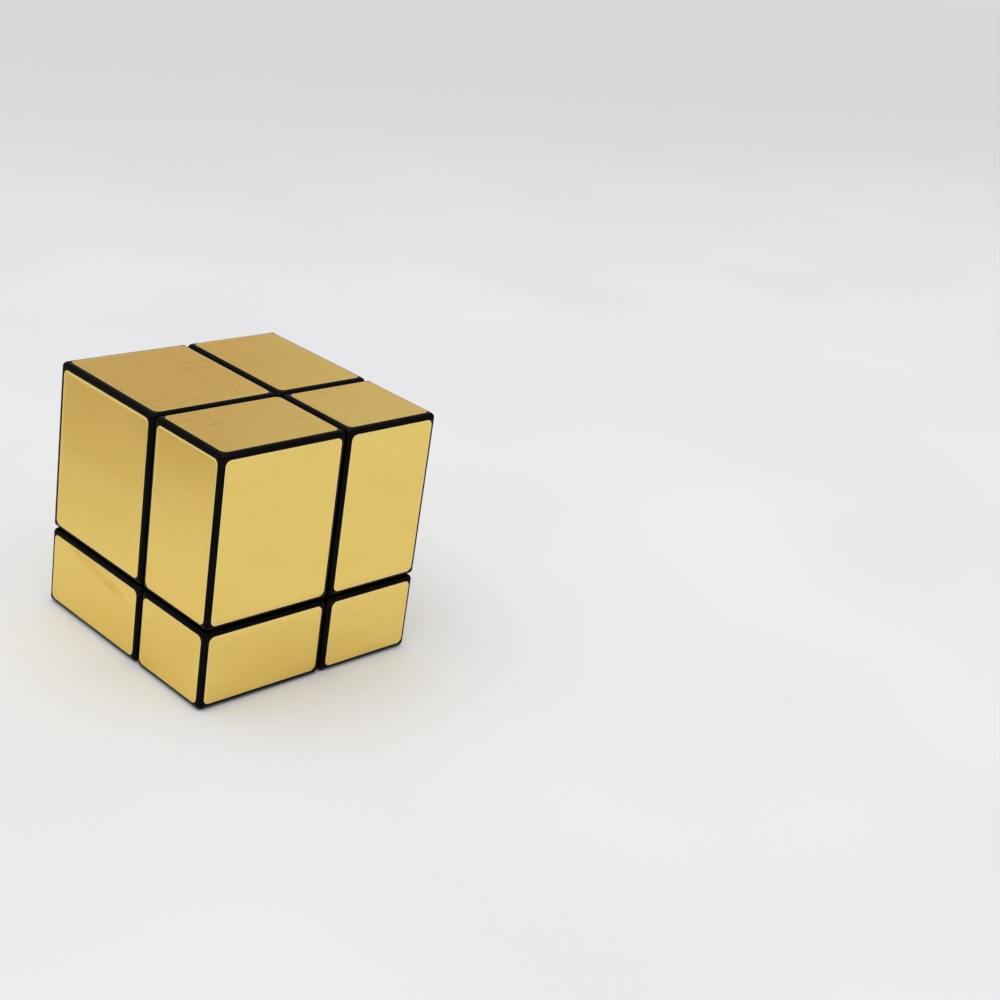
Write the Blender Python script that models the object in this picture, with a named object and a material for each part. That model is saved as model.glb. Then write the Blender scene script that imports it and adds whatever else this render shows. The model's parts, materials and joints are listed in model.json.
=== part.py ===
"""A 2 x 2 x 2 mirror cube: a twisty puzzle whose eight corner pieces differ in size, not in colour.

Each corner piece is a hollow black shell with a gold mirror foil on each of its three outer faces,
and a foot that reaches inwards. The feet are trapped between hidden edge and centre pieces, so the
puzzle turns like a 3 x 3 x 3 puzzle whose middle slices never show. Three layers turn (top, left and
front). The other half of the mechanism, its fixed centres and the edges between them, is moulded in
one with the core, because the right, back, bottom corner never turns against it.

The world origin is the middle of the bottom face: +X right, +Y back, +Z up. Every piece has its own
origin where the three cut planes meet, which is where the three turning axes cross.
"""

import itertools
import math

import bmesh
import bpy
from mathutils import Matrix, Vector

MM = 0.001

# How far each outer face lies from the point where the cut planes meet, for X, Y and Z
REACH = {
    -1: (28 * MM, 20 * MM, 16 * MM),  # left, front, bottom
    +1: (22 * MM, 30 * MM, 34 * MM),  # right, back, top
}
SIDE_WORDS = (
    {-1: "left", +1: "right"},
    {-1: "front", +1: "back"},
    {-1: "bottom", +1: "top"},
)
SIDE = REACH[-1][0] + REACH[+1][0]
MIDDLE = Vector((REACH[-1][0] - SIDE / 2, REACH[-1][1] - SIDE / 2, REACH[-1][2]))
HALF_GAP = 0.15 * MM  # from a cut plane to the pieces on each side of it

# The mirror foils, stuck to the flat outer faces of the shells
FOIL_THICKNESS = 0.12 * MM
FOIL_BOND = 0.03 * MM
FOIL_MARGIN = 1.15 * MM  # from the edge of the piece to the edge of its foil
FOIL_CORNER = 1.1 * MM
FOIL_CORNER_STEPS = 4

# The corner pieces' shells
SHELL_FILLET = 1.0 * MM
SHELL_FILLET_STEPS = 3
OUTER_WALL = 1.5 * MM
CUT_WALL = 1.2 * MM
SHELL_HOLLOW = 13.8 * MM  # radius of the ball-shaped clearance round the mechanism

# The mechanism, in ball-shaped layers round the middle
CORE_BALL = 5.6 * MM
FOOT_INSIDE = 5.9 * MM
FOOT_OUTSIDE = 8.7 * MM
FLANGE_INSIDE = 9.0 * MM
FLANGE_OUTSIDE = 11.9 * MM
CAP_INSIDE = 12.3 * MM
CAP_OUTSIDE = 13.4 * MM
FOOT_CUT = 2.5 * MM  # cut planes of the hidden pieces, in the layer of the feet
FLANGE_CUT = 4.0 * MM  # and in the layer of the flanges over them
OVERLAP = 0.5 * MM  # by which two shapes run into each other before they are joined
BALL_STEPS = 6  # faces along a quarter turn of each ball
FAR = 40 * MM

# The spring-loaded screws that hold the turning centres, along their axis from the middle
PILOT_DEPTH = 1.9 * MM
PILOT_RADIUS = 0.95 * MM
SPRING_SEAT = 6.6 * MM
BORE_RADIUS = 1.7 * MM
COUNTERBORE_SEAT = 10.4 * MM
COUNTERBORE_RADIUS = 2.2 * MM
HOLE_STEPS = 12
SCREW_TIP = 2.05 * MM
SCREW_TIP_LENGTH = 0.7 * MM
SHANK_RADIUS = 0.8 * MM
HEAD_SEAT = 10.9 * MM
HEAD_RADIUS = 1.6 * MM
HEAD_EDGE = 0.5 * MM
HEAD_TOP_RADIUS = 1.15 * MM
HEAD_HEIGHT = 0.9 * MM
RECESS_LENGTH = 1.7 * MM
RECESS_WIDTH = 0.4 * MM
RECESS_DEPTH = 0.5 * MM
WIRE_RADIUS = 0.2 * MM
COIL_RADIUS = 1.2 * MM
COIL_TURNS = 4.5
COIL_STEPS = 8
SPRING_GAP = 0.05 * MM

# The turning groups and what each is carried by
CARRIERS = {
    "anchor": None,
    "top": "anchor",
    "left": "anchor",
    "front": "anchor",
    "top_left": "top",
    "top_front": "top",
    "left_front": "left",
    "top_left_front": "top_left",
}


def clear_scene():
    for thing in list(bpy.data.objects):
        bpy.data.objects.remove(thing, do_unlink=True)


def material(name, colour, metallic, roughness):
    made = bpy.data.materials.new(name)
    made.use_nodes = True
    shader = made.node_tree.nodes["Principled BSDF"]
    shader.inputs["Base Color"].default_value = (*colour, 1)
    shader.inputs["Metallic"].default_value = metallic
    shader.inputs["Roughness"].default_value = roughness
    made.diffuse_color = (*colour, 1)
    return made


def all_materials():
    return {
        "foil": material("gold_mirror_foil", (0.72, 0.50, 0.18), 1.0, 0.06),
        "shell": material("black_shell_plastic", (0.012, 0.013, 0.014), 0.0, 0.32),
        "inner": material("black_inner_plastic", (0.02, 0.02, 0.022), 0.0, 0.45),
        "core": material("grey_core_plastic", (0.10, 0.10, 0.11), 0.0, 0.5),
        "steel": material("screw_steel", (0.56, 0.56, 0.58), 1.0, 0.3),
    }


# Shapes, made round the middle of the mechanism


def helper(bm):
    """An object that is only combined into others, from a bmesh."""
    mesh = bpy.data.meshes.new("helper")
    bmesh.ops.recalc_face_normals(bm, faces=bm.faces)
    bm.to_mesh(mesh)
    bm.free()
    made = bpy.data.objects.new("helper", mesh)
    made.hide_render = True
    made.display_type = "WIRE"
    bpy.context.collection.objects.link(made)
    return made


def box(low, high, fillet=0.0, steps=1):
    bm = bmesh.new()
    bmesh.ops.create_cube(bm, size=1)
    centre = (Vector(low) + Vector(high)) / 2
    size = Vector(high) - Vector(low)
    for corner in bm.verts:
        corner.co = Vector([c * s for c, s in zip(corner.co, size)]) + centre
    if fillet:
        bmesh.ops.bevel(
            bm,
            geom=list(bm.edges) + list(bm.verts),
            offset=fillet,
            segments=steps,
            profile=0.5,
            affect="EDGES",
        )
    return helper(bm)


def ball(radius):
    """A ball of even, small triangles that looks the same from all six sides."""
    bm = bmesh.new()
    bmesh.ops.create_cube(bm, size=2)
    bmesh.ops.subdivide_edges(bm, edges=bm.edges, cuts=BALL_STEPS - 1, use_grid_fill=True)
    for point in bm.verts:
        spread = Vector([math.tan(math.pi / 4 * c) for c in point.co])
        point.co = radius * spread.normalized()
    bmesh.ops.triangulate(bm, faces=bm.faces)
    return helper(bm)


def rod(radius, start, end, axis=0, direction=1):
    """A cylinder along one axis, between two distances from the middle."""
    bm = bmesh.new()
    along = Vector([direction if i == axis else 0 for i in range(3)])
    turned = along.to_track_quat("Z", "X").to_matrix().to_4x4()
    bmesh.ops.create_cone(
        bm,
        cap_ends=True,
        segments=HOLE_STEPS,
        radius1=radius,
        radius2=radius,
        depth=end - start,
        matrix=Matrix.Translation(along * (start + end) / 2) @ turned,
    )
    return helper(bm)


def lathe(profile):
    """The solid swept by (distance along X, radius) points, both ends on the axis."""
    bm = bmesh.new()
    points = [bm.verts.new((along, 0, radius)) for along, radius in profile]
    edges = [bm.edges.new(pair) for pair in zip(points, points[1:])]
    bmesh.ops.spin(
        bm,
        geom=points + edges,
        cent=(0, 0, 0),
        axis=(1, 0, 0),
        angle=math.tau,
        steps=HOLE_STEPS,
        use_merge=True,
    )
    bmesh.ops.remove_doubles(bm, verts=bm.verts, dist=0.001 * MM)
    return helper(bm)


def combine(base, *steps):
    """The base after each (operation, tool), as one mesh object. The tools are used up."""
    for number, (operation, tool) in enumerate(steps):
        boolean = base.modifiers.new(f"{operation.lower()}_{number}", "BOOLEAN")
        boolean.operation = operation
        boolean.solver = "EXACT"
        boolean.object = tool
    bpy.context.view_layer.update()
    graph = bpy.context.evaluated_depsgraph_get()
    mesh = bpy.data.meshes.new_from_object(base.evaluated_get(graph))
    base.modifiers.clear()
    base.data = mesh
    for _, tool in steps:
        bpy.data.objects.remove(tool)
    return base


def layer(low, high, inside, outside):
    """The part of a box between two balls."""
    return combine(box(low, high), ("INTERSECT", ball(outside)), ("DIFFERENCE", ball(inside)))


def take_mesh(shape, name, smooth_below=30):
    """The helper's mesh, shaded smooth but for its sharp edges. The helper is removed."""
    mesh = shape.data
    mesh.name = name
    mesh.shade_smooth()
    mesh.set_sharp_from_angle(angle=math.radians(smooth_below))
    bpy.data.objects.remove(shape)
    return mesh


# Sub-parts. The mechanism's pieces are drawn once, towards +X, +X +Y or +X +Y +Z.


def shell_mesh(sides):
    """A hollow rounded box, open towards the mechanism."""
    inset = FOIL_THICKNESS + FOIL_BOND
    outer = box(*corner_box(sides, HALF_GAP, inset), SHELL_FILLET, SHELL_FILLET_STEPS)
    hollow = box(*corner_box(sides, HALF_GAP + CUT_WALL, inset + OUTER_WALL))
    made = combine(outer, ("DIFFERENCE", hollow), ("DIFFERENCE", ball(SHELL_HOLLOW)))
    return take_mesh(made, "shell", smooth_below=40)


def corner_box(sides, from_cut, from_outside):
    """Opposite corners of a box this far from a corner piece's cut planes and outer faces."""
    low, high = Vector(), Vector()
    for axis, side in enumerate(sides):
        ends = (side * from_cut, side * (REACH[side][axis] - from_outside))
        low[axis], high[axis] = min(ends), max(ends)
    return low, high


def foil_mesh(sides, face_axis):
    """A thin plate with rounded corners, its outer side in the puzzle's outer face."""
    low, high = corner_box(sides, FOIL_MARGIN, FOIL_MARGIN)
    across, up = [axis for axis in range(3) if axis != face_axis]
    outline = []
    for corner in range(4):
        right = corner in (0, 3)
        upper = corner in (0, 1)
        middle = (
            high[across] - FOIL_CORNER if right else low[across] + FOIL_CORNER,
            high[up] - FOIL_CORNER if upper else low[up] + FOIL_CORNER,
        )
        for step in range(FOIL_CORNER_STEPS + 1):
            angle = math.pi / 2 * (corner + step / FOIL_CORNER_STEPS)
            point = Vector()
            point[across] = middle[0] + FOIL_CORNER * math.cos(angle)
            point[up] = middle[1] + FOIL_CORNER * math.sin(angle)
            outline.append(point)
    side = sides[face_axis]
    bm = bmesh.new()
    for point in outline:
        point[face_axis] = side * (REACH[side][face_axis] - FOIL_THICKNESS)
        bm.verts.new(point)
    face = bm.faces.new(bm.verts)
    extruded = bmesh.ops.extrude_face_region(bm, geom=[face])["geom"]
    for element in extruded:
        if isinstance(element, bmesh.types.BMVert):
            element.co[face_axis] = side * REACH[side][face_axis]
    return take_mesh(helper(bm), "foil")


def foot_mesh():
    """A corner piece's foot, its neck between the flanges, and the cap that backs the shell."""
    foot_low = [FOOT_CUT + HALF_GAP] * 3
    neck_low = [FLANGE_CUT + HALF_GAP] * 3
    cap_low = [HALF_GAP] * 3
    far = [FAR] * 3
    foot = layer(foot_low, far, FOOT_INSIDE, FOOT_OUTSIDE)
    neck = layer(neck_low, far, FOOT_OUTSIDE - OVERLAP, CAP_INSIDE + OVERLAP)
    cap = layer(cap_low, far, CAP_INSIDE, CAP_OUTSIDE)
    return take_mesh(combine(foot, ("UNION", neck), ("UNION", cap)), "foot")


def edge_mesh():
    """A hidden edge: its foot, a short column and the flange over the corners' feet."""
    foot, flange = FOOT_CUT - HALF_GAP, FLANGE_CUT - HALF_GAP
    foot_clear, flange_clear = FOOT_CUT + HALF_GAP, FLANGE_CUT + HALF_GAP
    made = layer(
        (foot_clear, foot_clear, -foot), (FAR, FAR, foot), FOOT_INSIDE, FOOT_OUTSIDE
    )
    column = layer(
        (flange_clear, flange_clear, -foot),
        (FAR, FAR, foot),
        FOOT_OUTSIDE - OVERLAP,
        FLANGE_INSIDE + OVERLAP,
    )
    top = layer(
        (flange_clear, flange_clear, -flange),
        (FAR, FAR, flange),
        FLANGE_INSIDE,
        FLANGE_OUTSIDE,
    )
    return take_mesh(combine(made, ("UNION", column), ("UNION", top)), "edge")


def centre_mesh():
    """A turning centre: a square stem and flange, bored for its spring and screw."""
    foot, flange = FOOT_CUT - HALF_GAP, FLANGE_CUT - HALF_GAP
    stem = layer((0, -foot, -foot), (FAR, foot, foot), FOOT_INSIDE, FLANGE_INSIDE + OVERLAP)
    top = layer((0, -flange, -flange), (FAR, flange, flange), FLANGE_INSIDE, FLANGE_OUTSIDE)
    made = combine(
        stem,
        ("UNION", top),
        ("DIFFERENCE", rod(PILOT_RADIUS, FOOT_INSIDE - OVERLAP, SPRING_SEAT + OVERLAP)),
        ("DIFFERENCE", rod(BORE_RADIUS, SPRING_SEAT, COUNTERBORE_SEAT + OVERLAP)),
        ("DIFFERENCE", rod(COUNTERBORE_RADIUS, COUNTERBORE_SEAT, FLANGE_OUTSIDE + OVERLAP)),
    )
    return take_mesh(made, "centre")


def core_mesh():
    """The core ball with the three fixed centres and the edges between them, in one moulding."""
    foot, flange = FOOT_CUT - HALF_GAP, FLANGE_CUT - HALF_GAP
    anchor = (+1, +1, -1)
    clear_of_foot = combine(
        quadrant(anchor, foot),
        ("DIFFERENCE", ball(CORE_BALL)),
    )
    arms = combine(
        quadrant(anchor, -foot),
        ("INTERSECT", ball(FLANGE_INSIDE + OVERLAP)),
        ("DIFFERENCE", clear_of_foot),
    )
    flanges = combine(
        quadrant(anchor, -flange),
        ("INTERSECT", ball(FLANGE_OUTSIDE)),
        ("DIFFERENCE", ball(FLANGE_INSIDE)),
        ("DIFFERENCE", quadrant(anchor, flange)),
    )
    pilots = [
        ("DIFFERENCE", rod(PILOT_RADIUS, PILOT_DEPTH, CORE_BALL + OVERLAP, axis, -side))
        for axis, side in enumerate(anchor)
    ]
    made = combine(ball(CORE_BALL), ("UNION", arms), ("UNION", flanges), *pilots)
    return take_mesh(made, "core")


def quadrant(sides, start):
    """A large box towards these sides, which starts this far beyond the middle."""
    near = [side * start for side in sides]
    far = [side * FAR for side in sides]
    return box([min(ends) for ends in zip(near, far)], [max(ends) for ends in zip(near, far)])


def screw_mesh():
    """A pan-head screw along +X, with a cross recess."""
    head_top = HEAD_SEAT + HEAD_HEIGHT
    body = lathe(
        (
            (SCREW_TIP, 0),
            (SCREW_TIP + SCREW_TIP_LENGTH, SHANK_RADIUS),
            (HEAD_SEAT, SHANK_RADIUS),
            (HEAD_SEAT, HEAD_RADIUS),
            (HEAD_SEAT + HEAD_EDGE, HEAD_RADIUS),
            (head_top, HEAD_TOP_RADIUS),
            (head_top, 0),
        )
    )
    floor, above = head_top - RECESS_DEPTH, head_top + OVERLAP
    long, short = RECESS_LENGTH / 2, RECESS_WIDTH / 2
    made = combine(
        body,
        ("DIFFERENCE", box((floor, -long, -short), (above, long, short))),
        ("DIFFERENCE", box((floor, -short, -long), (above, short, long))),
    )
    return take_mesh(made, "screw")


def spring_curve():
    """A coil spring along +X, between the centre's seat and the screw's head."""
    first = SPRING_SEAT + SPRING_GAP + WIRE_RADIUS
    last = HEAD_SEAT - SPRING_GAP - WIRE_RADIUS
    count = round(COIL_TURNS * COIL_STEPS) + 1
    curve = bpy.data.curves.new("spring", "CURVE")
    curve.dimensions = "3D"
    curve.bevel_depth = WIRE_RADIUS
    curve.bevel_resolution = 1
    curve.use_fill_caps = True
    wire = curve.splines.new("POLY")
    wire.points.add(count - 1)
    for number, point in enumerate(wire.points):
        share = number / (count - 1)
        angle = math.tau * COIL_TURNS * share
        along = first + (last - first) * share
        point.co = (along, COIL_RADIUS * math.cos(angle), COIL_RADIUS * math.sin(angle), 1)
    return curve


# Assembly


def place_name(sides):
    return "_".join(SIDE_WORDS[axis][side] for axis, side in enumerate(sides) if side)


def group_of(sides):
    """The turning group of a piece: the turning layers that it is in, or the anchor."""
    layers = []
    if sides[2] > 0:
        layers.append("top")
    if sides[0] < 0:
        layers.append("left")
    if sides[1] < 0:
        layers.append("front")
    return "_".join(layers) or "anchor"


def turned_to(sides):
    """The rotation that takes a mechanism piece from where it is drawn to its place."""
    used = [axis for axis in range(3) if sides[axis]]
    unused = [axis for axis in range(3) if not sides[axis]]
    columns = []
    for axis in used + unused:
        column = Vector()
        column[axis] = sides[axis] or 1
        columns.append(column)
    if Matrix(columns).determinant() < 0:
        if unused:
            columns[2].negate()
        else:
            columns[0], columns[1] = columns[1], columns[0]
    return Matrix(columns).transposed().to_4x4()


def add(name, data, look, carrier, turned=None):
    """One named piece, on the empty of its turning group."""
    piece = bpy.data.objects.new(name, data)
    if not data.materials:
        data.materials.append(look)
    bpy.context.collection.objects.link(piece)
    piece.parent = carrier
    if turned is not None:
        piece.matrix_local = turned
    return piece


def make_carriers():
    """An empty for each turning group, where the turning axes cross."""
    carriers = {}
    for name, under in CARRIERS.items():
        empty = bpy.data.objects.new(f"turns_{name}", None)
        empty.empty_display_size = SIDE / 10
        bpy.context.collection.objects.link(empty)
        if under:
            empty.parent = carriers[under]
        else:
            empty.location = MIDDLE
        carriers[name] = empty
    return carriers


def add_corner(sides, looks, carrier, foot):
    place = place_name(sides)
    add(f"shell_{place}", shell_mesh(sides), looks["shell"], carrier)
    add(f"foot_{place}", foot, looks["inner"], carrier, turned_to(sides))
    for axis, side in enumerate(sides):
        others = [s if i != axis else 0 for i, s in enumerate(sides)]
        name = f"foil_{SIDE_WORDS[axis][side]}_{place_name(others)}"
        add(name, foil_mesh(sides, axis), looks["foil"], carrier)


def add_centre(sides, looks, carriers, centre, screw, spring):
    """A turning centre, with the screw and spring that hold it, which stay with the core."""
    place = place_name(sides)
    turned = turned_to(sides)
    add(f"centre_{place}", centre, looks["inner"], carriers[group_of(sides)], turned)
    add(f"screw_{place}", screw, looks["steel"], carriers["anchor"], turned)
    add(f"spring_{place}", spring, looks["steel"], carriers["anchor"], turned)


def build():
    clear_scene()
    looks = all_materials()
    carriers = make_carriers()
    foot, edge, centre = foot_mesh(), edge_mesh(), centre_mesh()
    screw, spring = screw_mesh(), spring_curve()
    add("core", core_mesh(), looks["core"], carriers["anchor"])
    for sides in itertools.product((-1, 0, 1), repeat=3):
        group = group_of(sides)
        cuts = sum(map(abs, sides))
        if cuts == 3:
            add_corner(sides, looks, carriers[group], foot)
        elif group != "anchor" and cuts == 2:
            add(f"edge_{place_name(sides)}", edge, looks["inner"], carriers[group], turned_to(sides))
        elif group != "anchor" and cuts == 1:
            add_centre(sides, looks, carriers, centre, screw, spring)
    bpy.context.view_layer.update()


build()
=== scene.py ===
"""The looks of the gold mirror puzzle cube: black satin shells, rippled mirror foils and their light."""

import json
import math

import bmesh
import bpy
from mathutils import Matrix, Vector, noise


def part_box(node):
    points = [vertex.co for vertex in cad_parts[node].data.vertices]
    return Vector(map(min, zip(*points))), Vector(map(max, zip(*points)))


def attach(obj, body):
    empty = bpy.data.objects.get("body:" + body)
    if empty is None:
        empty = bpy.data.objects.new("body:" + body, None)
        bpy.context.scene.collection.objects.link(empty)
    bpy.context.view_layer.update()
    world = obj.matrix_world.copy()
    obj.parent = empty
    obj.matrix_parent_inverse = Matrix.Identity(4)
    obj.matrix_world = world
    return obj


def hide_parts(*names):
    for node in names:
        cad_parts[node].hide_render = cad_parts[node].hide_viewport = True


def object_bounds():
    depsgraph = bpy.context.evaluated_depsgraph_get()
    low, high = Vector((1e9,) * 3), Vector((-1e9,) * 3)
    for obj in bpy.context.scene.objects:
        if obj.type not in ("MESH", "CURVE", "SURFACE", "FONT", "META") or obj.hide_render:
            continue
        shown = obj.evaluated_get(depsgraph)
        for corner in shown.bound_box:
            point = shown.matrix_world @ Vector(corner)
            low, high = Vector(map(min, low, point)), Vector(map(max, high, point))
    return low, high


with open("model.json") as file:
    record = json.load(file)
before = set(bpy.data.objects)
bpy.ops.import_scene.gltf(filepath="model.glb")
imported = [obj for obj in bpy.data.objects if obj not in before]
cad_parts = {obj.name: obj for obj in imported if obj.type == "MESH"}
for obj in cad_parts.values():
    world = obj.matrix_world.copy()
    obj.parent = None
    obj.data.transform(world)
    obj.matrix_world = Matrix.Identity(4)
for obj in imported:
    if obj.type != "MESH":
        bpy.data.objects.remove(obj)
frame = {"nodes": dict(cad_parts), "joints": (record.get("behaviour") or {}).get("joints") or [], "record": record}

MM = 0.001
CAD_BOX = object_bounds()
BODY_OF = {node: body for body, nodes in frame["record"]["behaviour"]["bodies"].items() for node in nodes}
MIDDLE = Vector(frame["joints"][0]["pos_m"])  # where the turning axes cross
CUBE_CENTRE = (CAD_BOX[0] + CAD_BOX[1]) / 2
SHARP_ANGLE = math.radians(35)  # an edge that bends more than this isn't shaded smooth

# Shells
SHELL_FILLET = 1.0 * MM
SHELL_FILLET_STEPS = 7
OUTER_WALL = 1.5 * MM
CUT_WALL = 1.2 * MM
HOLLOW_RADIUS = 13.8 * MM
HOLLOW_STEPS = 96

# Foils
FOIL_CORNER = 1.15 * MM
FOIL_EDGE_LINES = (0, 0.03, 0.08, 0.15, 0.24, 0.35, 0.5, 0.66, 0.83, 1.0)  # shares of the corner radius
FOIL_GRID = 0.5 * MM
CREASED_GRID = 0.2 * MM
EDGE_BEND = 1.0 * MM  # how far in from its edge a foil starts to bend down
EDGE_DROP = 0.10 * MM
# A painted highlight: a paler line along each foil's cut edge, in place of the light its bent edge catches
EDGE_HIGHLIGHT_WIDTH = 0.16 * MM  # the width of the paler line along a foil's cut edge
SLOW_RIPPLE = (14 * MM, 0.010 * MM)  # wavelength and height
QUICK_RIPPLE = (4.5 * MM, 0.0012 * MM)
SINK = 0.012 * MM  # how far the middle of a foil lies in from its edges
PLACEMENT = 0.04 * MM  # how far off centre a foil may sit
PLACEMENT_PITCH = 300  # noise steps per metre, so that each foil gets its own shift
PLACEMENT_ROWS = (0, 7)  # where along the noise the shifts across and up are read
OUTER_TRIM = 0.06 * MM  # how much a foil stops short at each of the cube's own edges
# Foils further off centre, or cut smaller: the shift across and up, and the trim across and up
OFF_CENTRE = {
    "foil_left_back_top": (-0.10 * MM, -0.03 * MM, 0.55 * MM, 0.10 * MM),
    "foil_left_back_bottom": (-0.08 * MM, 0.0, 0.16 * MM, 0.0),
    "foil_top_left_back": (0.05 * MM, -0.06 * MM, 0.10 * MM, 0.06 * MM),
    "foil_left_front_top": (-0.13 * MM, -0.03 * MM, 0.0, 0.0),
    "foil_front_left_top": (-0.13 * MM, 0.0, 0.0, 0.0),
    "foil_front_left_bottom": (-0.12 * MM, 0.12 * MM, 0.0, 0.0),
    "foil_front_right_bottom": (0.08 * MM, 0.05 * MM, 0.10 * MM, 0.0),
    "foil_top_right_front": (0.08 * MM, 0.0, 0.0, 0.0),
    "foil_top_left_front": (0.03 * MM, 0.05 * MM, 0.0, 0.0),
}
# Creases: both ends as shares of the foil, then half width and depth
CREASES = {
    "foil_left_back_bottom": (
        ((0.70, 0.925), (0.22, 0.84), 1.00 * MM, 0.0015 * MM),
        ((0.76, 0.955), (0.30, 0.86), 0.50 * MM, 0.004 * MM),
        ((0.66, 0.925), (0.14, 0.80), 0.55 * MM, 0.004 * MM),
        ((0.52, 0.880), (0.22, 0.76), 0.34 * MM, 0.004 * MM),
        ((0.36, 0.850), (0.04, 0.70), 0.40 * MM, 0.005 * MM),
        ((0.04, 0.84), (0.03, 0.68), 0.22 * MM, 0.009 * MM),
    ),
    "foil_left_back_top": (
        ((0.985, 0.945), (0.86, 0.915), 0.14 * MM, 0.010 * MM),
        ((0.975, 0.985), (0.960, 0.980), 0.20 * MM, 0.030 * MM),
    ),
}

# Gold film: its two tones, whose slow bands are partly the film's uneven tint and partly painted reflection, its
# tint at a grazing angle, the tones of what marks it, and the painted highlight along its cut edges
GOLD_TONES = ((0.864, 0.635, 0.170), (0.892, 0.666, 0.193))
GOLD_TINT = (1.0, 0.88, 0.70)
MOTTLE_TONE = (0.76, 0.50, 0.13)
SMUDGE_TONE = (0.60, 0.38, 0.10)
DIRT_TONE = (0.36, 0.23, 0.07)
CREASE_TONE = (0.74, 0.46, 0.085)
RIM_HIGHLIGHT_TONE = (1.0, 0.88, 0.55)
RIM_HIGHLIGHT_STRENGTH = 0.6
LITTLE_HANDLED = 0.2  # how much haze and how many smudges a foil has
MUCH_HANDLED = 1.0

# Plastics and steel
SHELL_PLASTIC = {
    "tones": ((0.0010, 0.0009, 0.0008), (0.0016, 0.0014, 0.0012)),
    "roughness": (0.14, 0.24),
    "specular": 0.055,
    # tint: a warm tint on the shells' reflections everywhere, a painted reflection of the gold foils' light seen
    # in the gaps
    "tint": (1.0, 0.93, 0.84),
}
INNER_PLASTIC = {
    "tones": ((0.016, 0.016, 0.018), (0.026, 0.026, 0.028)),
    "roughness": (0.38, 0.5),
}
CORE_PLASTIC = {
    "tones": ((0.09, 0.09, 0.10), (0.12, 0.12, 0.13)),
    "roughness": (0.42, 0.55),
}
PLASTIC_MARK_TONE = (0.03, 0.03, 0.03)
STEEL_TONES = ((0.48, 0.48, 0.50), (0.66, 0.66, 0.67))
STEEL_ROUGHNESS = (0.2, 0.42)

# Room: the walls' tone by the height of the direction
SKY = (
    (0.0, (0.80, 0.79, 0.78)),
    (0.12, (0.67, 0.62, 0.60)),
    (0.30, (0.600, 0.542, 0.545)),
    (0.50, (0.605, 0.572, 0.575)),
    (0.75, (0.62, 0.62, 0.62)),
    (1.0, (0.66, 0.67, 0.68)),
)
# Glows in the room: the way towards each, the cosines of its outer and inner edges, and its tone
SOFTBOX = ((-0.22, 0.08, 0.972), (0.76, 0.90), (1.17, 1.225, 1.28))
WINDOW = ((0.754, 0.551, 0.358), (0.958, 0.993), (0.065, 0.108, 0.128))

# Key light: a small disk
KEY_PLACE = Vector((-0.45, -0.53, 0.75))
KEY_AIM = Vector((0, 0, 0.02))
KEY_SIZE = 0.10
KEY_WATTS = 0.8

# Floor, with a soft warm painted shadow on it at the cube's left, and painted shade that darkens it a little into
# the distance
FLOOR_RADIUS = 8
FLOOR_TONES = ((0.788, 0.788, 0.788), (0.832, 0.832, 0.832))
FLOOR_ROUGHNESS = 0.75
FLOOR_SPECULAR = 0.2
# Painted shade: the floor's colour darkens along FAR_WAY, in place of light that fades into the distance
FAR_WAY = (0.21, 0.978, 0)  # the floor grows a little darker this way, and pale again towards the horizon
FAR_START = (0.07, 0.58)
FAR_END = (2.5, 0.9)
PAINTED_FALLOFF_TONE = (0.692, 0.689, 0.676)
# A painted shadow: a soft warm darker patch in the floor's colour at the cube's left
PAINTED_SHADOW_PLACE = (-0.114, 0.104, 0)
PAINTED_SHADOW_REACH = 0.106
PAINTED_SHADOW_LENGTH = 1.4  # how much longer it is along Y than across
PAINTED_SHADOW_TONE = (0.60, 0.545, 0.51)

# Camera: where it stands, which way it looks from +Y towards +X, and how it tilts and rolls
CAMERA_PLACE = Vector((-187.5, -229.4, 158.0)) * MM
CAMERA_HEADING = 48.85
CAMERA_PITCH = -22.75
CAMERA_ROLL = 9.33
CAMERA_LENS = 60.1
CAMERA_SENSOR = 36

MIX_FIRST, MIX_SECOND, MIX_RESULT = 6, 7, 2  # the colour sockets of a Mix node


# Shader nodes


def new_material(name):
    made = bpy.data.materials.new(name)
    made.use_nodes = True
    nodes = made.node_tree.nodes
    return made, nodes, made.node_tree.links, nodes["Principled BSDF"]


def set_inputs(node, **values):
    for name, value in values.items():
        node.inputs[name.replace("_", " ")].default_value = value


def add_node(nodes, kind, **settings):
    node = nodes.new(kind)
    for name, value in settings.items():
        setattr(node, name, value)
    return node


def place_input(nodes, links, rotation=(0, 0, 0), scale=(1, 1, 1)):
    """The piece's own coordinates, turned and stretched."""
    coordinates = nodes.new("ShaderNodeTexCoord")
    mapping = nodes.new("ShaderNodeMapping")
    set_inputs(mapping, Rotation=rotation, Scale=scale)
    links.new(coordinates.outputs["Object"], mapping.inputs["Vector"])
    return mapping.outputs["Vector"]


def noise_value(nodes, links, scale=1.0, detail=2.0, roughness=0.5, where=None):
    texture = nodes.new("ShaderNodeTexNoise")
    set_inputs(texture, Scale=scale, Detail=detail, Roughness=roughness)
    links.new(where or place_input(nodes, links), texture.inputs["Vector"])
    return texture.outputs["Fac"]


def remap(nodes, links, value, low, high, to_low=0.0, to_high=1.0):
    """value from low to high, made to run from to_low to to_high and clamped there."""
    node = nodes.new("ShaderNodeMapRange")
    set_inputs(node, From_Min=low, From_Max=high, To_Min=to_low, To_Max=to_high)
    links.new(value, node.inputs["Value"])
    return node.outputs["Result"]


def maths(nodes, links, operation, first, second):
    node = add_node(nodes, "ShaderNodeMath", operation=operation)
    for socket, value in zip(node.inputs, (first, second)):
        if isinstance(value, (int, float)):
            socket.default_value = value
        else:
            links.new(value, socket)
    return node.outputs["Value"]


def scaled(nodes, links, value, factor):
    return maths(nodes, links, "MULTIPLY", value, factor)


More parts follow.
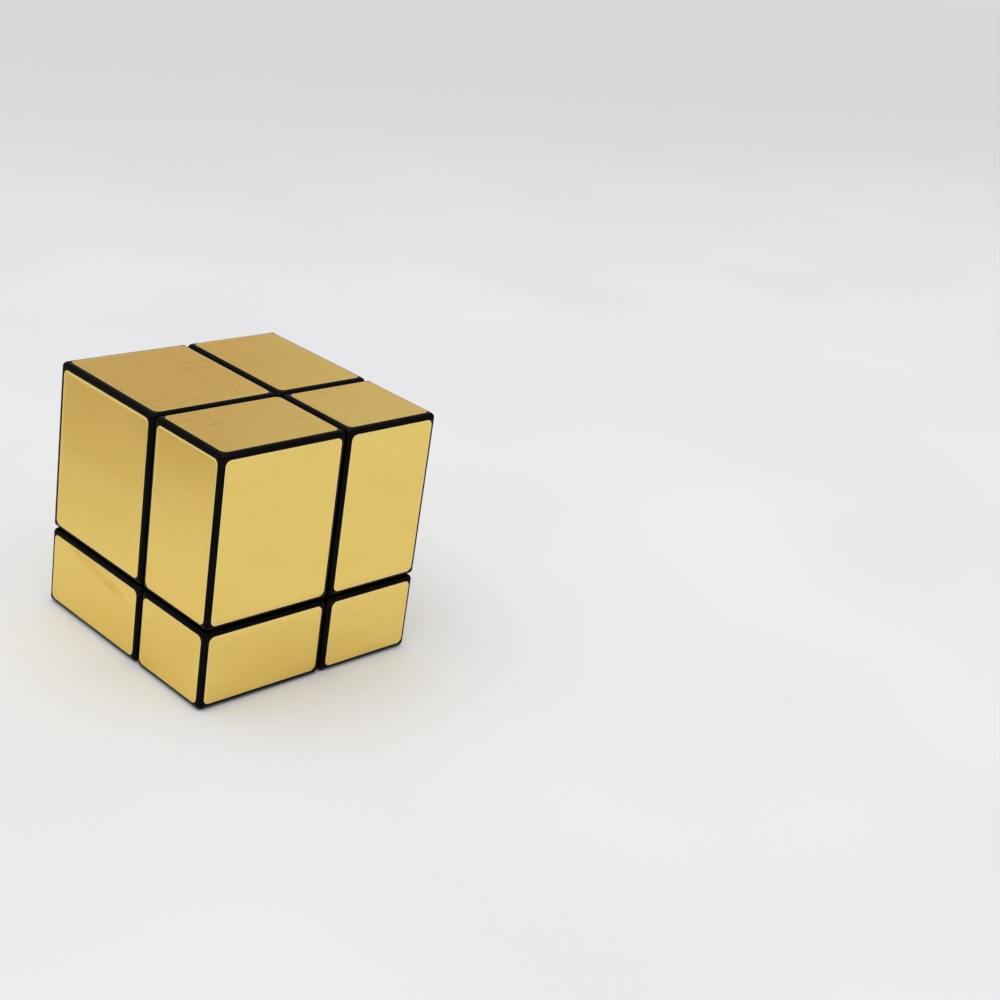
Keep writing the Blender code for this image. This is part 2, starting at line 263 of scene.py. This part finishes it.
def mix_colour(nodes, links, share, first, second, blend_type="MIX"):
    """first where share is 0 and second where it is 1, each a tone or another node's colour."""
    node = add_node(nodes, "ShaderNodeMix", data_type="RGBA", blend_type=blend_type)
    links.new(share, node.inputs["Factor"])
    for number, value in ((MIX_FIRST, first), (MIX_SECOND, second)):
        if isinstance(value, tuple):
            node.inputs[number].default_value = (*value, 1)
        else:
            links.new(value, node.inputs[number])
    return node.outputs[MIX_RESULT]


def bump(nodes, links, height, distance, under=None):
    node = nodes.new("ShaderNodeBump")
    set_inputs(node, Strength=1.0, Distance=distance)
    links.new(height, node.inputs["Height"])
    if under is not None:
        links.new(under, node.inputs["Normal"])
    return node.outputs["Normal"]


def scratches(nodes, links, rotation, threshold=0.70):
    """Sparse hair-fine streaks along one direction, from 0 to 1."""
    stretched = place_input(nodes, links, rotation, scale=(7000, 190, 2600))
    streaks = noise_value(nodes, links, detail=0.0, where=stretched)
    patches = noise_value(nodes, links, scale=120, detail=1.0)
    lines = remap(nodes, links, streaks, threshold, threshold + 0.06)
    where = remap(nodes, links, patches, 0.50, 0.62)
    return maths(nodes, links, "MULTIPLY", lines, where)


def specks(nodes, links, scale, radius, share):
    """Small round spots, each in its own cell, in this share of the cells."""
    cells = nodes.new("ShaderNodeTexVoronoi")
    set_inputs(cells, Scale=scale, Randomness=1.0)
    links.new(place_input(nodes, links), cells.inputs["Vector"])
    spots = remap(nodes, links, cells.outputs["Distance"], radius, radius * 0.5)
    separate = nodes.new("ShaderNodeSeparateColor")
    links.new(cells.outputs["Color"], separate.inputs["Color"])
    chosen = maths(nodes, links, "LESS_THAN", separate.outputs["Red"], share)
    return maths(nodes, links, "MULTIPLY", spots, chosen)


def stored(nodes, name):
    """A number that make_foil stores at each point of a foil."""
    return add_node(nodes, "ShaderNodeAttribute", attribute_name=name).outputs["Fac"]


# Materials


def foil_dirt(nodes, links, handled):
    """Fine scratches, more of them on a handled foil, and a few specks of dust."""
    marks = scaled(nodes, links, scratches(nodes, links, (0.3, 0.5, 0.9)), 0.42 * handled)
    dust = scaled(nodes, links, specks(nodes, links, scale=520, radius=0.07, share=0.012), 0.55)
    return maths(nodes, links, "MAXIMUM", marks, dust)


def foil_smudges(nodes, links, handled):
    """Wispy finger smudges that gather in patches."""
    stretched = place_input(nodes, links, rotation=(0.2, 0.7, 0.5), scale=(320, 900, 600))
    wisps = noise_value(nodes, links, detail=5.0, roughness=0.72, where=stretched)
    patches = noise_value(nodes, links, scale=75, detail=1.0)
    patches = remap(nodes, links, patches, 0.42, 0.62)
    smudges = maths(nodes, links, "MULTIPLY", remap(nodes, links, wisps, 0.54, 0.76), patches)
    return scaled(nodes, links, smudges, 0.75 * handled)


def foil_crease_darkening(nodes, links, creased):
    """A darker brown laid along a crease, broken up along it."""
    stretched = place_input(nodes, links, rotation=(0.30, 0, 0), scale=(500, 260, 2600))
    broken = noise_value(nodes, links, detail=3.0, roughness=0.6, where=stretched)
    return maths(nodes, links, "MULTIPLY", creased, remap(nodes, links, broken, 0.38, 0.60, 0.10, 0.60))


def foil_colour(nodes, links, handled, dirt, creased):
    # Slow bands between the two gold tones: partly the film's uneven tint, partly painted reflection of an uneven
    # room
    stretched = place_input(nodes, links, scale=(45, 45, 105))
    tint_and_painted_reflection_bands = remap(nodes, links, noise_value(nodes, links, where=stretched), 0.33, 0.67)
    colour = mix_colour(nodes, links, tint_and_painted_reflection_bands, *GOLD_TONES)
    mottle = noise_value(nodes, links, scale=620, detail=3.0, roughness=0.6)
    mottle = remap(nodes, links, mottle, 0.4, 0.66, 0.0, 0.06 + 0.2 * handled)
    colour = mix_colour(nodes, links, mottle, colour, MOTTLE_TONE)
    colour = mix_colour(nodes, links, foil_smudges(nodes, links, handled), colour, SMUDGE_TONE)
    colour = mix_colour(nodes, links, dirt, colour, DIRT_TONE)
    colour = mix_colour(nodes, links, foil_crease_darkening(nodes, links, creased), colour, CREASE_TONE)
    # painted highlight: a paler line along the foil's cut edge
    rim = scaled(nodes, links, stored(nodes, "rim"), RIM_HIGHLIGHT_STRENGTH)
    return mix_colour(nodes, links, rim, colour, RIM_HIGHLIGHT_TONE)


def foil_roughness(nodes, links, handled, dirt, creased):
    haze = noise_value(nodes, links, scale=110, detail=4.0, roughness=0.65)
    rough = remap(nodes, links, haze, 0.3, 0.7, 0.03 + 0.07 * handled, 0.06 + 0.14 * handled)
    rough = maths(nodes, links, "ADD", rough, scaled(nodes, links, dirt, 0.3))
    return maths(nodes, links, "ADD", rough, scaled(nodes, links, creased, 0.15))


def foil_relief(nodes, links, dirt):
    """Orange peel from the glue, the film's grain, and the scratches."""
    peel = bump(nodes, links, noise_value(nodes, links, scale=900, detail=1.0), 0.010 * MM)
    grain = bump(nodes, links, noise_value(nodes, links, scale=3800, detail=1.0), 0.0008 * MM, under=peel)
    return bump(nodes, links, dirt, 0.003 * MM, under=grain)


def gold_foil(name, handled):
    """Thin gold mirror film; handled says how much haze and how many smudges it has."""
    made, nodes, links, shader = new_material(name)
    set_inputs(shader, Metallic=1.0, Specular_Tint=(*GOLD_TINT, 1))
    dirt = foil_dirt(nodes, links, handled)
    creased = stored(nodes, "crease")
    links.new(foil_colour(nodes, links, handled, dirt, creased), shader.inputs["Base Color"])
    links.new(foil_roughness(nodes, links, handled, dirt, creased), shader.inputs["Roughness"])
    links.new(foil_relief(nodes, links, dirt), shader.inputs["Normal"])
    return made


def moulded_plastic(name, tones, roughness, specular=0.3, tint=(1.0, 1.0, 1.0)):
    """Satin plastic with a fine moulded grain and faint handling marks."""
    made, nodes, links, shader = new_material(name)
    set_inputs(shader, Specular_IOR_Level=specular, Specular_Tint=(*tint, 1))
    cloudy = noise_value(nodes, links, scale=350, detail=4.0, roughness=0.6)
    colour = mix_colour(nodes, links, remap(nodes, links, cloudy, 0.35, 0.7), *tones)
    marks = scaled(nodes, links, scratches(nodes, links, (0.6, 0.9, 0.1), threshold=0.67), 0.3)
    links.new(mix_colour(nodes, links, marks, colour, PLASTIC_MARK_TONE), shader.inputs["Base Color"])
    uneven = noise_value(nodes, links, scale=500, detail=3.0, roughness=0.6)
    links.new(remap(nodes, links, uneven, 0.3, 0.7, *roughness), shader.inputs["Roughness"])
    grain = bump(nodes, links, noise_value(nodes, links, scale=2600), 0.006 * MM)
    waves = bump(nodes, links, noise_value(nodes, links, scale=260, detail=1.0), 0.010 * MM, under=grain)
    links.new(waves, shader.inputs["Normal"])
    return made


def turned_steel(name):
    made, nodes, links, shader = new_material(name)
    set_inputs(shader, Metallic=1.0)
    tone = noise_value(nodes, links, scale=800, detail=3.0)
    links.new(mix_colour(nodes, links, tone, *STEEL_TONES), shader.inputs["Base Color"])
    links.new(remap(nodes, links, tone, 0.3, 0.7, *STEEL_ROUGHNESS), shader.inputs["Roughness"])
    stretched = place_input(nodes, links, scale=(300, 300, 6000))
    grooves = noise_value(nodes, links, where=stretched)
    links.new(bump(nodes, links, grooves, 0.004 * MM), shader.inputs["Normal"])
    return made


# Pieces


def shade(mesh):
    mesh.shade_smooth()
    mesh.set_sharp_from_angle(angle=SHARP_ANGLE)


def new_piece(name, bm, look):
    mesh = bpy.data.meshes.new(name)
    bmesh.ops.recalc_face_normals(bm, faces=bm.faces)
    bm.to_mesh(mesh)
    bm.free()
    mesh.materials.append(look)
    shade(mesh)
    piece = bpy.data.objects.new(name, mesh)
    bpy.context.scene.collection.objects.link(piece)
    return piece


def stand_for(piece, node):
    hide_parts(node)
    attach(piece, BODY_OF[node])


def box_mesh(low, high, fillet=0.0):
    bm = bmesh.new()
    bmesh.ops.create_cube(bm, size=1)
    for corner in bm.verts:
        spread = Vector([c * (b - a) for c, a, b in zip(corner.co, low, high)])
        corner.co = (low + high) / 2 + spread
    if fillet:
        bmesh.ops.bevel(
            bm,
            geom=list(bm.edges) + list(bm.verts),
            offset=fillet,
            segments=SHELL_FILLET_STEPS,
            profile=0.5,
            affect="EDGES",
        )
    return bm


def cutter(bm):
    mesh = bpy.data.meshes.new("cutter")
    bm.to_mesh(mesh)
    bm.free()
    made = bpy.data.objects.new("cutter", mesh)
    bpy.context.scene.collection.objects.link(made)
    return made


def hollow_out(piece, *tools):
    """Cuts each tool out of the piece, and keeps the result as its mesh."""
    for tool in tools:
        boolean = piece.modifiers.new("hollow", "BOOLEAN")
        boolean.operation = "DIFFERENCE"
        boolean.solver = "EXACT"
        boolean.object = tool
    bpy.context.view_layer.update()
    graph = bpy.context.evaluated_depsgraph_get()
    mesh = bpy.data.meshes.new_from_object(piece.evaluated_get(graph))
    piece.modifiers.clear()
    piece.data = mesh
    for tool in tools:
        bpy.data.objects.remove(tool)
    shade(mesh)
    even = piece.modifiers.new("even_normals", "WEIGHTED_NORMAL")
    even.keep_sharp = True


def make_shell(node, look):
    """A hollow rounded box, open towards the mechanism, in the place of the CAD shell."""
    low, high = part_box(node)
    piece = new_piece(node.replace("shell_", "cubie_"), box_mesh(low, high, SHELL_FILLET), look)
    inner_low, inner_high = low.copy(), high.copy()
    for axis in range(3):
        above = low[axis] > MIDDLE[axis]
        inner_low[axis] += CUT_WALL if above else OUTER_WALL
        inner_high[axis] -= OUTER_WALL if above else CUT_WALL
    ball = bmesh.new()
    bmesh.ops.create_uvsphere(
        ball,
        u_segments=HOLLOW_STEPS,
        v_segments=HOLLOW_STEPS // 2,
        radius=HOLLOW_RADIUS,
        matrix=Matrix.Translation(MIDDLE),
    )
    hollow_out(piece, cutter(box_mesh(inner_low, inner_high)), cutter(ball))
    stand_for(piece, node)


def foil_lines(length, spacing):
    """Where the grid lines cross one side of a foil: close together near its ends."""
    near = [FOIL_CORNER * share for share in FOIL_EDGE_LINES]
    inside = length - 2 * FOIL_CORNER
    count = max(2, round(inside / spacing))
    middle = [FOIL_CORNER + inside * step / count for step in range(1, count)]
    return near + middle + [length - place for place in reversed(near)]


def rounded(place, size):
    """A grid point moved so that the foil's corners are round, and how far it lies in from the edge."""
    half = Vector(size) / 2
    centred = Vector(place) - half
    straight = [h - FOIL_CORNER for h in half]
    reach = Vector([abs(c) - s for c, s in zip(centred, straight)])
    if reach.x <= 0 or reach.y <= 0:
        return Vector(place), min(FOIL_CORNER, FOIL_CORNER - max(reach))
    u, v = reach / FOIL_CORNER
    curved = (u * math.sqrt(1 - v * v / 2), v * math.sqrt(1 - u * u / 2))
    moved = [math.copysign(s + FOIL_CORNER * c, side) for s, c, side in zip(straight, curved, centred)]
    return Vector(moved) + half, FOIL_CORNER * (1 - math.hypot(*curved))


def crease_at(flat, size, crease):
    """How strongly this crease shows at a point of the foil: 1 along its middle, and 0 away from it."""
    first, last, half_width, _ = crease
    start = Vector((first[0] * size[0], first[1] * size[1]))
    along = Vector((last[0] * size[0], last[1] * size[1])) - start
    share = max(0.0, min(1.0, (flat - start).dot(along) / along.length_squared))
    width = half_width * (0.35 + 0.65 * math.sin(math.pi * (0.1 + 0.8 * share)))
    return math.exp(-(((flat - start - along * share).length / width) ** 2))


def foil_depth(point, shares, inward):
    """How far the foil's surface lies in from the cube's face."""
    slow, slow_height = SLOW_RIPPLE
    quick, quick_height = QUICK_RIPPLE
    ripple = slow_height * (0.5 + 0.5 * noise.noise(point / slow))
    ripple += quick_height * (0.5 + 0.5 * noise.noise(point / quick))
    sink = SINK
    for share in shares:
        sink *= 1 - (2 * share - 1) ** 2
    bend = max(0.0, 1 - inward / EDGE_BEND) ** 2 * EDGE_DROP
    return ripple + sink + bend


def foil_extent(node, axes):
    """Where the foil starts along each of its two axes, and how long it is along them."""
    low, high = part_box(node)
    noise_place = (low + high) / 2 * PLACEMENT_PITCH
    loose = [PLACEMENT * noise.noise(noise_place + Vector((row, 0, 0))) for row in PLACEMENT_ROWS]
    *shifts, trim_across, trim_up = OFF_CENTRE.get(node, (*loose, 0.0, 0.0))
    corner, size = [], []
    for axis, shift, trim in zip(axes, shifts, (trim_across, trim_up)):
        start = low[axis] + trim / 2 + shift
        end = high[axis] - trim / 2 + shift
        if low[axis] > MIDDLE[axis]:
            end -= OUTER_TRIM
        else:
            start += OUTER_TRIM
        corner.append(start)
        size.append(end - start)
    return corner, size


def foil_surface(bm, node, out, outwards, face):
    """The vertices of the foil's outer surface, row by row, with how much painted rim highlight and crease shows
    at each.
    """
    across, up = [axis for axis in range(3) if axis != out]
    corner, size = foil_extent(node, (across, up))
    creases = CREASES.get(node, ())
    spacing = CREASED_GRID if creases else FOIL_GRID
    rim_highlight_layer = bm.verts.layers.float.new("rim")
    crease_layer = bm.verts.layers.float.new("crease")
    rows = []
    for y in foil_lines(size[1], spacing):
        row = []
        for x in foil_lines(size[0], spacing):
            flat, inward = rounded((x, y), size)
            strengths = [crease_at(flat, size, crease) for crease in creases]
            depth = sum(strength * deepest for strength, (*_, deepest) in zip(strengths, creases))
            point = Vector()
            point[out] = face
            point[across] = corner[0] + flat.x
            point[up] = corner[1] + flat.y
            point[out] -= outwards * (foil_depth(point, (x / size[0], y / size[1]), inward) + depth)
            vertex = bm.verts.new(point)
            # the share of the painted rim highlight at this point
            vertex[rim_highlight_layer] = max(0.0, 1 - inward / EDGE_HIGHLIGHT_WIDTH)
            vertex[crease_layer] = min(1.0, sum(strengths))
            row.append(vertex)
        rows.append(row)
    return rows


def close_foil(bm, rows, out, back):
    """The faces between the rows, the foil's thin sides and its flat back."""
    for lower, upper in zip(rows, rows[1:]):
        for number in range(len(lower) - 1):
            bm.faces.new((lower[number], lower[number + 1], upper[number + 1], upper[number]))
    right_side = [row[-1] for row in rows[1:-1]]
    left_side = [row[0] for row in rows[-2:0:-1]]
    rim = rows[0] + right_side + rows[-1][::-1] + left_side
    under = []
    for vertex in rim:
        point = vertex.co.copy()
        point[out] = back
        under.append(bm.verts.new(point))
    for number in range(len(rim)):
        following = (number + 1) % len(rim)
        bm.faces.new((rim[number], rim[following], under[following], under[number]))
    bm.faces.new(under)


def make_foil(node, look):
    """A thin, slightly rippled plate with round corners and bent-down edges."""
    low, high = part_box(node)
    out = min(range(3), key=lambda axis: high[axis] - low[axis])
    outwards = 1 if (low + high)[out] / 2 > CUBE_CENTRE[out] else -1
    face, back = (high[out], low[out]) if outwards > 0 else (low[out], high[out])
    bm = bmesh.new()
    close_foil(bm, foil_surface(bm, node, out, outwards, face), out, back)
    stand_for(new_piece(node.replace("foil_", "mirror_"), bm, look), node)


def dress_node(node, look):
    materials = frame["nodes"][node].data.materials
    materials.clear()
    materials.append(look)


def make_cube():
    """The shells and foils as new pieces, and the inner nodes in their own plastics and steel."""
    foil = gold_foil("gold_mirror_foil", LITTLE_HANDLED)
    top_foil = gold_foil("handled_gold_mirror_foil", MUCH_HANDLED)
    shell = moulded_plastic("black_shell_plastic", **SHELL_PLASTIC)
    inner = moulded_plastic("black_inner_plastic", **INNER_PLASTIC)
    core = moulded_plastic("grey_core_plastic", **CORE_PLASTIC)
    steel = turned_steel("screw_steel")
    carried = {"foot": inner, "edge": inner, "centre": inner, "core": core, "screw": steel, "spring": steel}
    for name in sorted(frame["nodes"]):
        kind = name.split("_")[0]
        if kind == "shell":
            make_shell(name, shell)
        elif kind == "foil":
            make_foil(name, top_foil if name.startswith("foil_top") else foil)
        else:
            dress_node(name, carried[kind])


# Stage


def make_floor():
    """A pale floor with painted shade: it darkens a little into the distance, and a soft warm painted shadow lies
    at one side.
    """
    bm = bmesh.new()
    bmesh.ops.create_circle(bm, cap_ends=True, segments=96, radius=FLOOR_RADIUS)
    look, nodes, links, shader = new_material("pale_floor")
    cloudy = noise_value(nodes, links, scale=11, detail=1.0)
    tone = mix_colour(nodes, links, remap(nodes, links, cloudy, 0.3, 0.7), *FLOOR_TONES)
    along = add_node(nodes, "ShaderNodeVectorMath", operation="DOT_PRODUCT")
    links.new(place_input(nodes, links), along.inputs[0])
    along.inputs[1].default_value = FAR_WAY
    begun, over = [remap(nodes, links, along.outputs["Value"], *reach) for reach in (FAR_START, FAR_END)]
    begun.node.interpolation_type = over.node.interpolation_type = "SMOOTHSTEP"
    # painted shade: the floor darkens a little into the distance
    painted_falloff = maths(nodes, links, "MULTIPLY", begun, over)
    tone = mix_colour(nodes, links, painted_falloff, tone, PAINTED_FALLOFF_TONE)
    # painted shadow: a soft warm darker patch in the floor's colour
    away = add_node(nodes, "ShaderNodeVectorMath", operation="DISTANCE")
    x, y, z = PAINTED_SHADOW_PLACE
    links.new(place_input(nodes, links, scale=(1, 1 / PAINTED_SHADOW_LENGTH, 1)), away.inputs[0])
    away.inputs[1].default_value = (x, y / PAINTED_SHADOW_LENGTH, z)
    painted_shadow = remap(nodes, links, away.outputs["Value"], PAINTED_SHADOW_REACH, 0.0)
    painted_shadow.node.interpolation_type = "SMOOTHERSTEP"
    links.new(mix_colour(nodes, links, painted_shadow, tone, PAINTED_SHADOW_TONE), shader.inputs["Base Color"])
    set_inputs(shader, Roughness=FLOOR_ROUGHNESS, Specular_IOR_Level=FLOOR_SPECULAR)
    new_piece("floor", bm, look)


def add_glow(nodes, links, way, base, glow):
    """The colour base with a soft round glow added to it, seen in the direction way."""
    centre, spread, tone = glow
    side = add_node(nodes, "ShaderNodeVectorMath", operation="DOT_PRODUCT")
    links.new(way, side.inputs[0])
    side.inputs[1].default_value = centre
    lit = remap(nodes, links, side.outputs["Value"], *spread)
    lit.node.interpolation_type = "SMOOTHSTEP"
    return mix_colour(nodes, links, lit, base, tone, blend_type="ADD")


def make_world():
    """A pale room: dim warm walls with a window's faint glow, and a broad softbox overhead."""
    world = bpy.data.worlds.new("room")
    world.use_nodes = True
    nodes, links = world.node_tree.nodes, world.node_tree.links
    way = nodes.new("ShaderNodeTexCoord").outputs["Generated"]
    separate = nodes.new("ShaderNodeSeparateXYZ")
    links.new(way, separate.inputs["Vector"])
    ramp = nodes.new("ShaderNodeValToRGB")
    while len(ramp.color_ramp.elements) < len(SKY):
        ramp.color_ramp.elements.new(0.5)
    for element, (place, colour) in zip(ramp.color_ramp.elements, SKY):
        element.position = place
        element.color = (*colour, 1)
    links.new(separate.outputs["Z"], ramp.inputs["Fac"])
    lit = add_glow(nodes, links, way, ramp.outputs["Color"], SOFTBOX)
    lit = add_glow(nodes, links, way, lit, WINDOW)
    links.new(lit, nodes["Background"].inputs["Color"])
    bpy.context.scene.world = world


def make_key_light():
    data = bpy.data.lights.new("key_light", "AREA")
    data.shape = "DISK"
    data.size = KEY_SIZE
    data.energy = KEY_WATTS
    lamp = bpy.data.objects.new("key_light", data)
    bpy.context.scene.collection.objects.link(lamp)
    lamp.location = KEY_PLACE
    lamp.rotation_mode = "QUATERNION"
    lamp.rotation_quaternion = (KEY_AIM - KEY_PLACE).to_track_quat("-Z", "Y")


def make_camera():
    data = bpy.data.cameras.new("camera")
    data.lens = CAMERA_LENS
    data.sensor_width = CAMERA_SENSOR
    data.clip_start = 0.01
    data.clip_end = 50
    camera = bpy.data.objects.new("camera", data)
    bpy.context.scene.collection.objects.link(camera)
    turned = (
        Matrix.Rotation(math.radians(-CAMERA_HEADING), 4, "Z")
        @ Matrix.Rotation(math.radians(90 + CAMERA_PITCH), 4, "X")
        @ Matrix.Rotation(math.radians(CAMERA_ROLL), 4, "Z")
    )
    camera.matrix_world = Matrix.Translation(CAMERA_PLACE) @ turned
    bpy.context.scene.camera = camera


make_camera()
make_world()
make_floor()
make_key_light()
make_cube()

bpy.context.scene.view_settings.view_transform = "Standard"
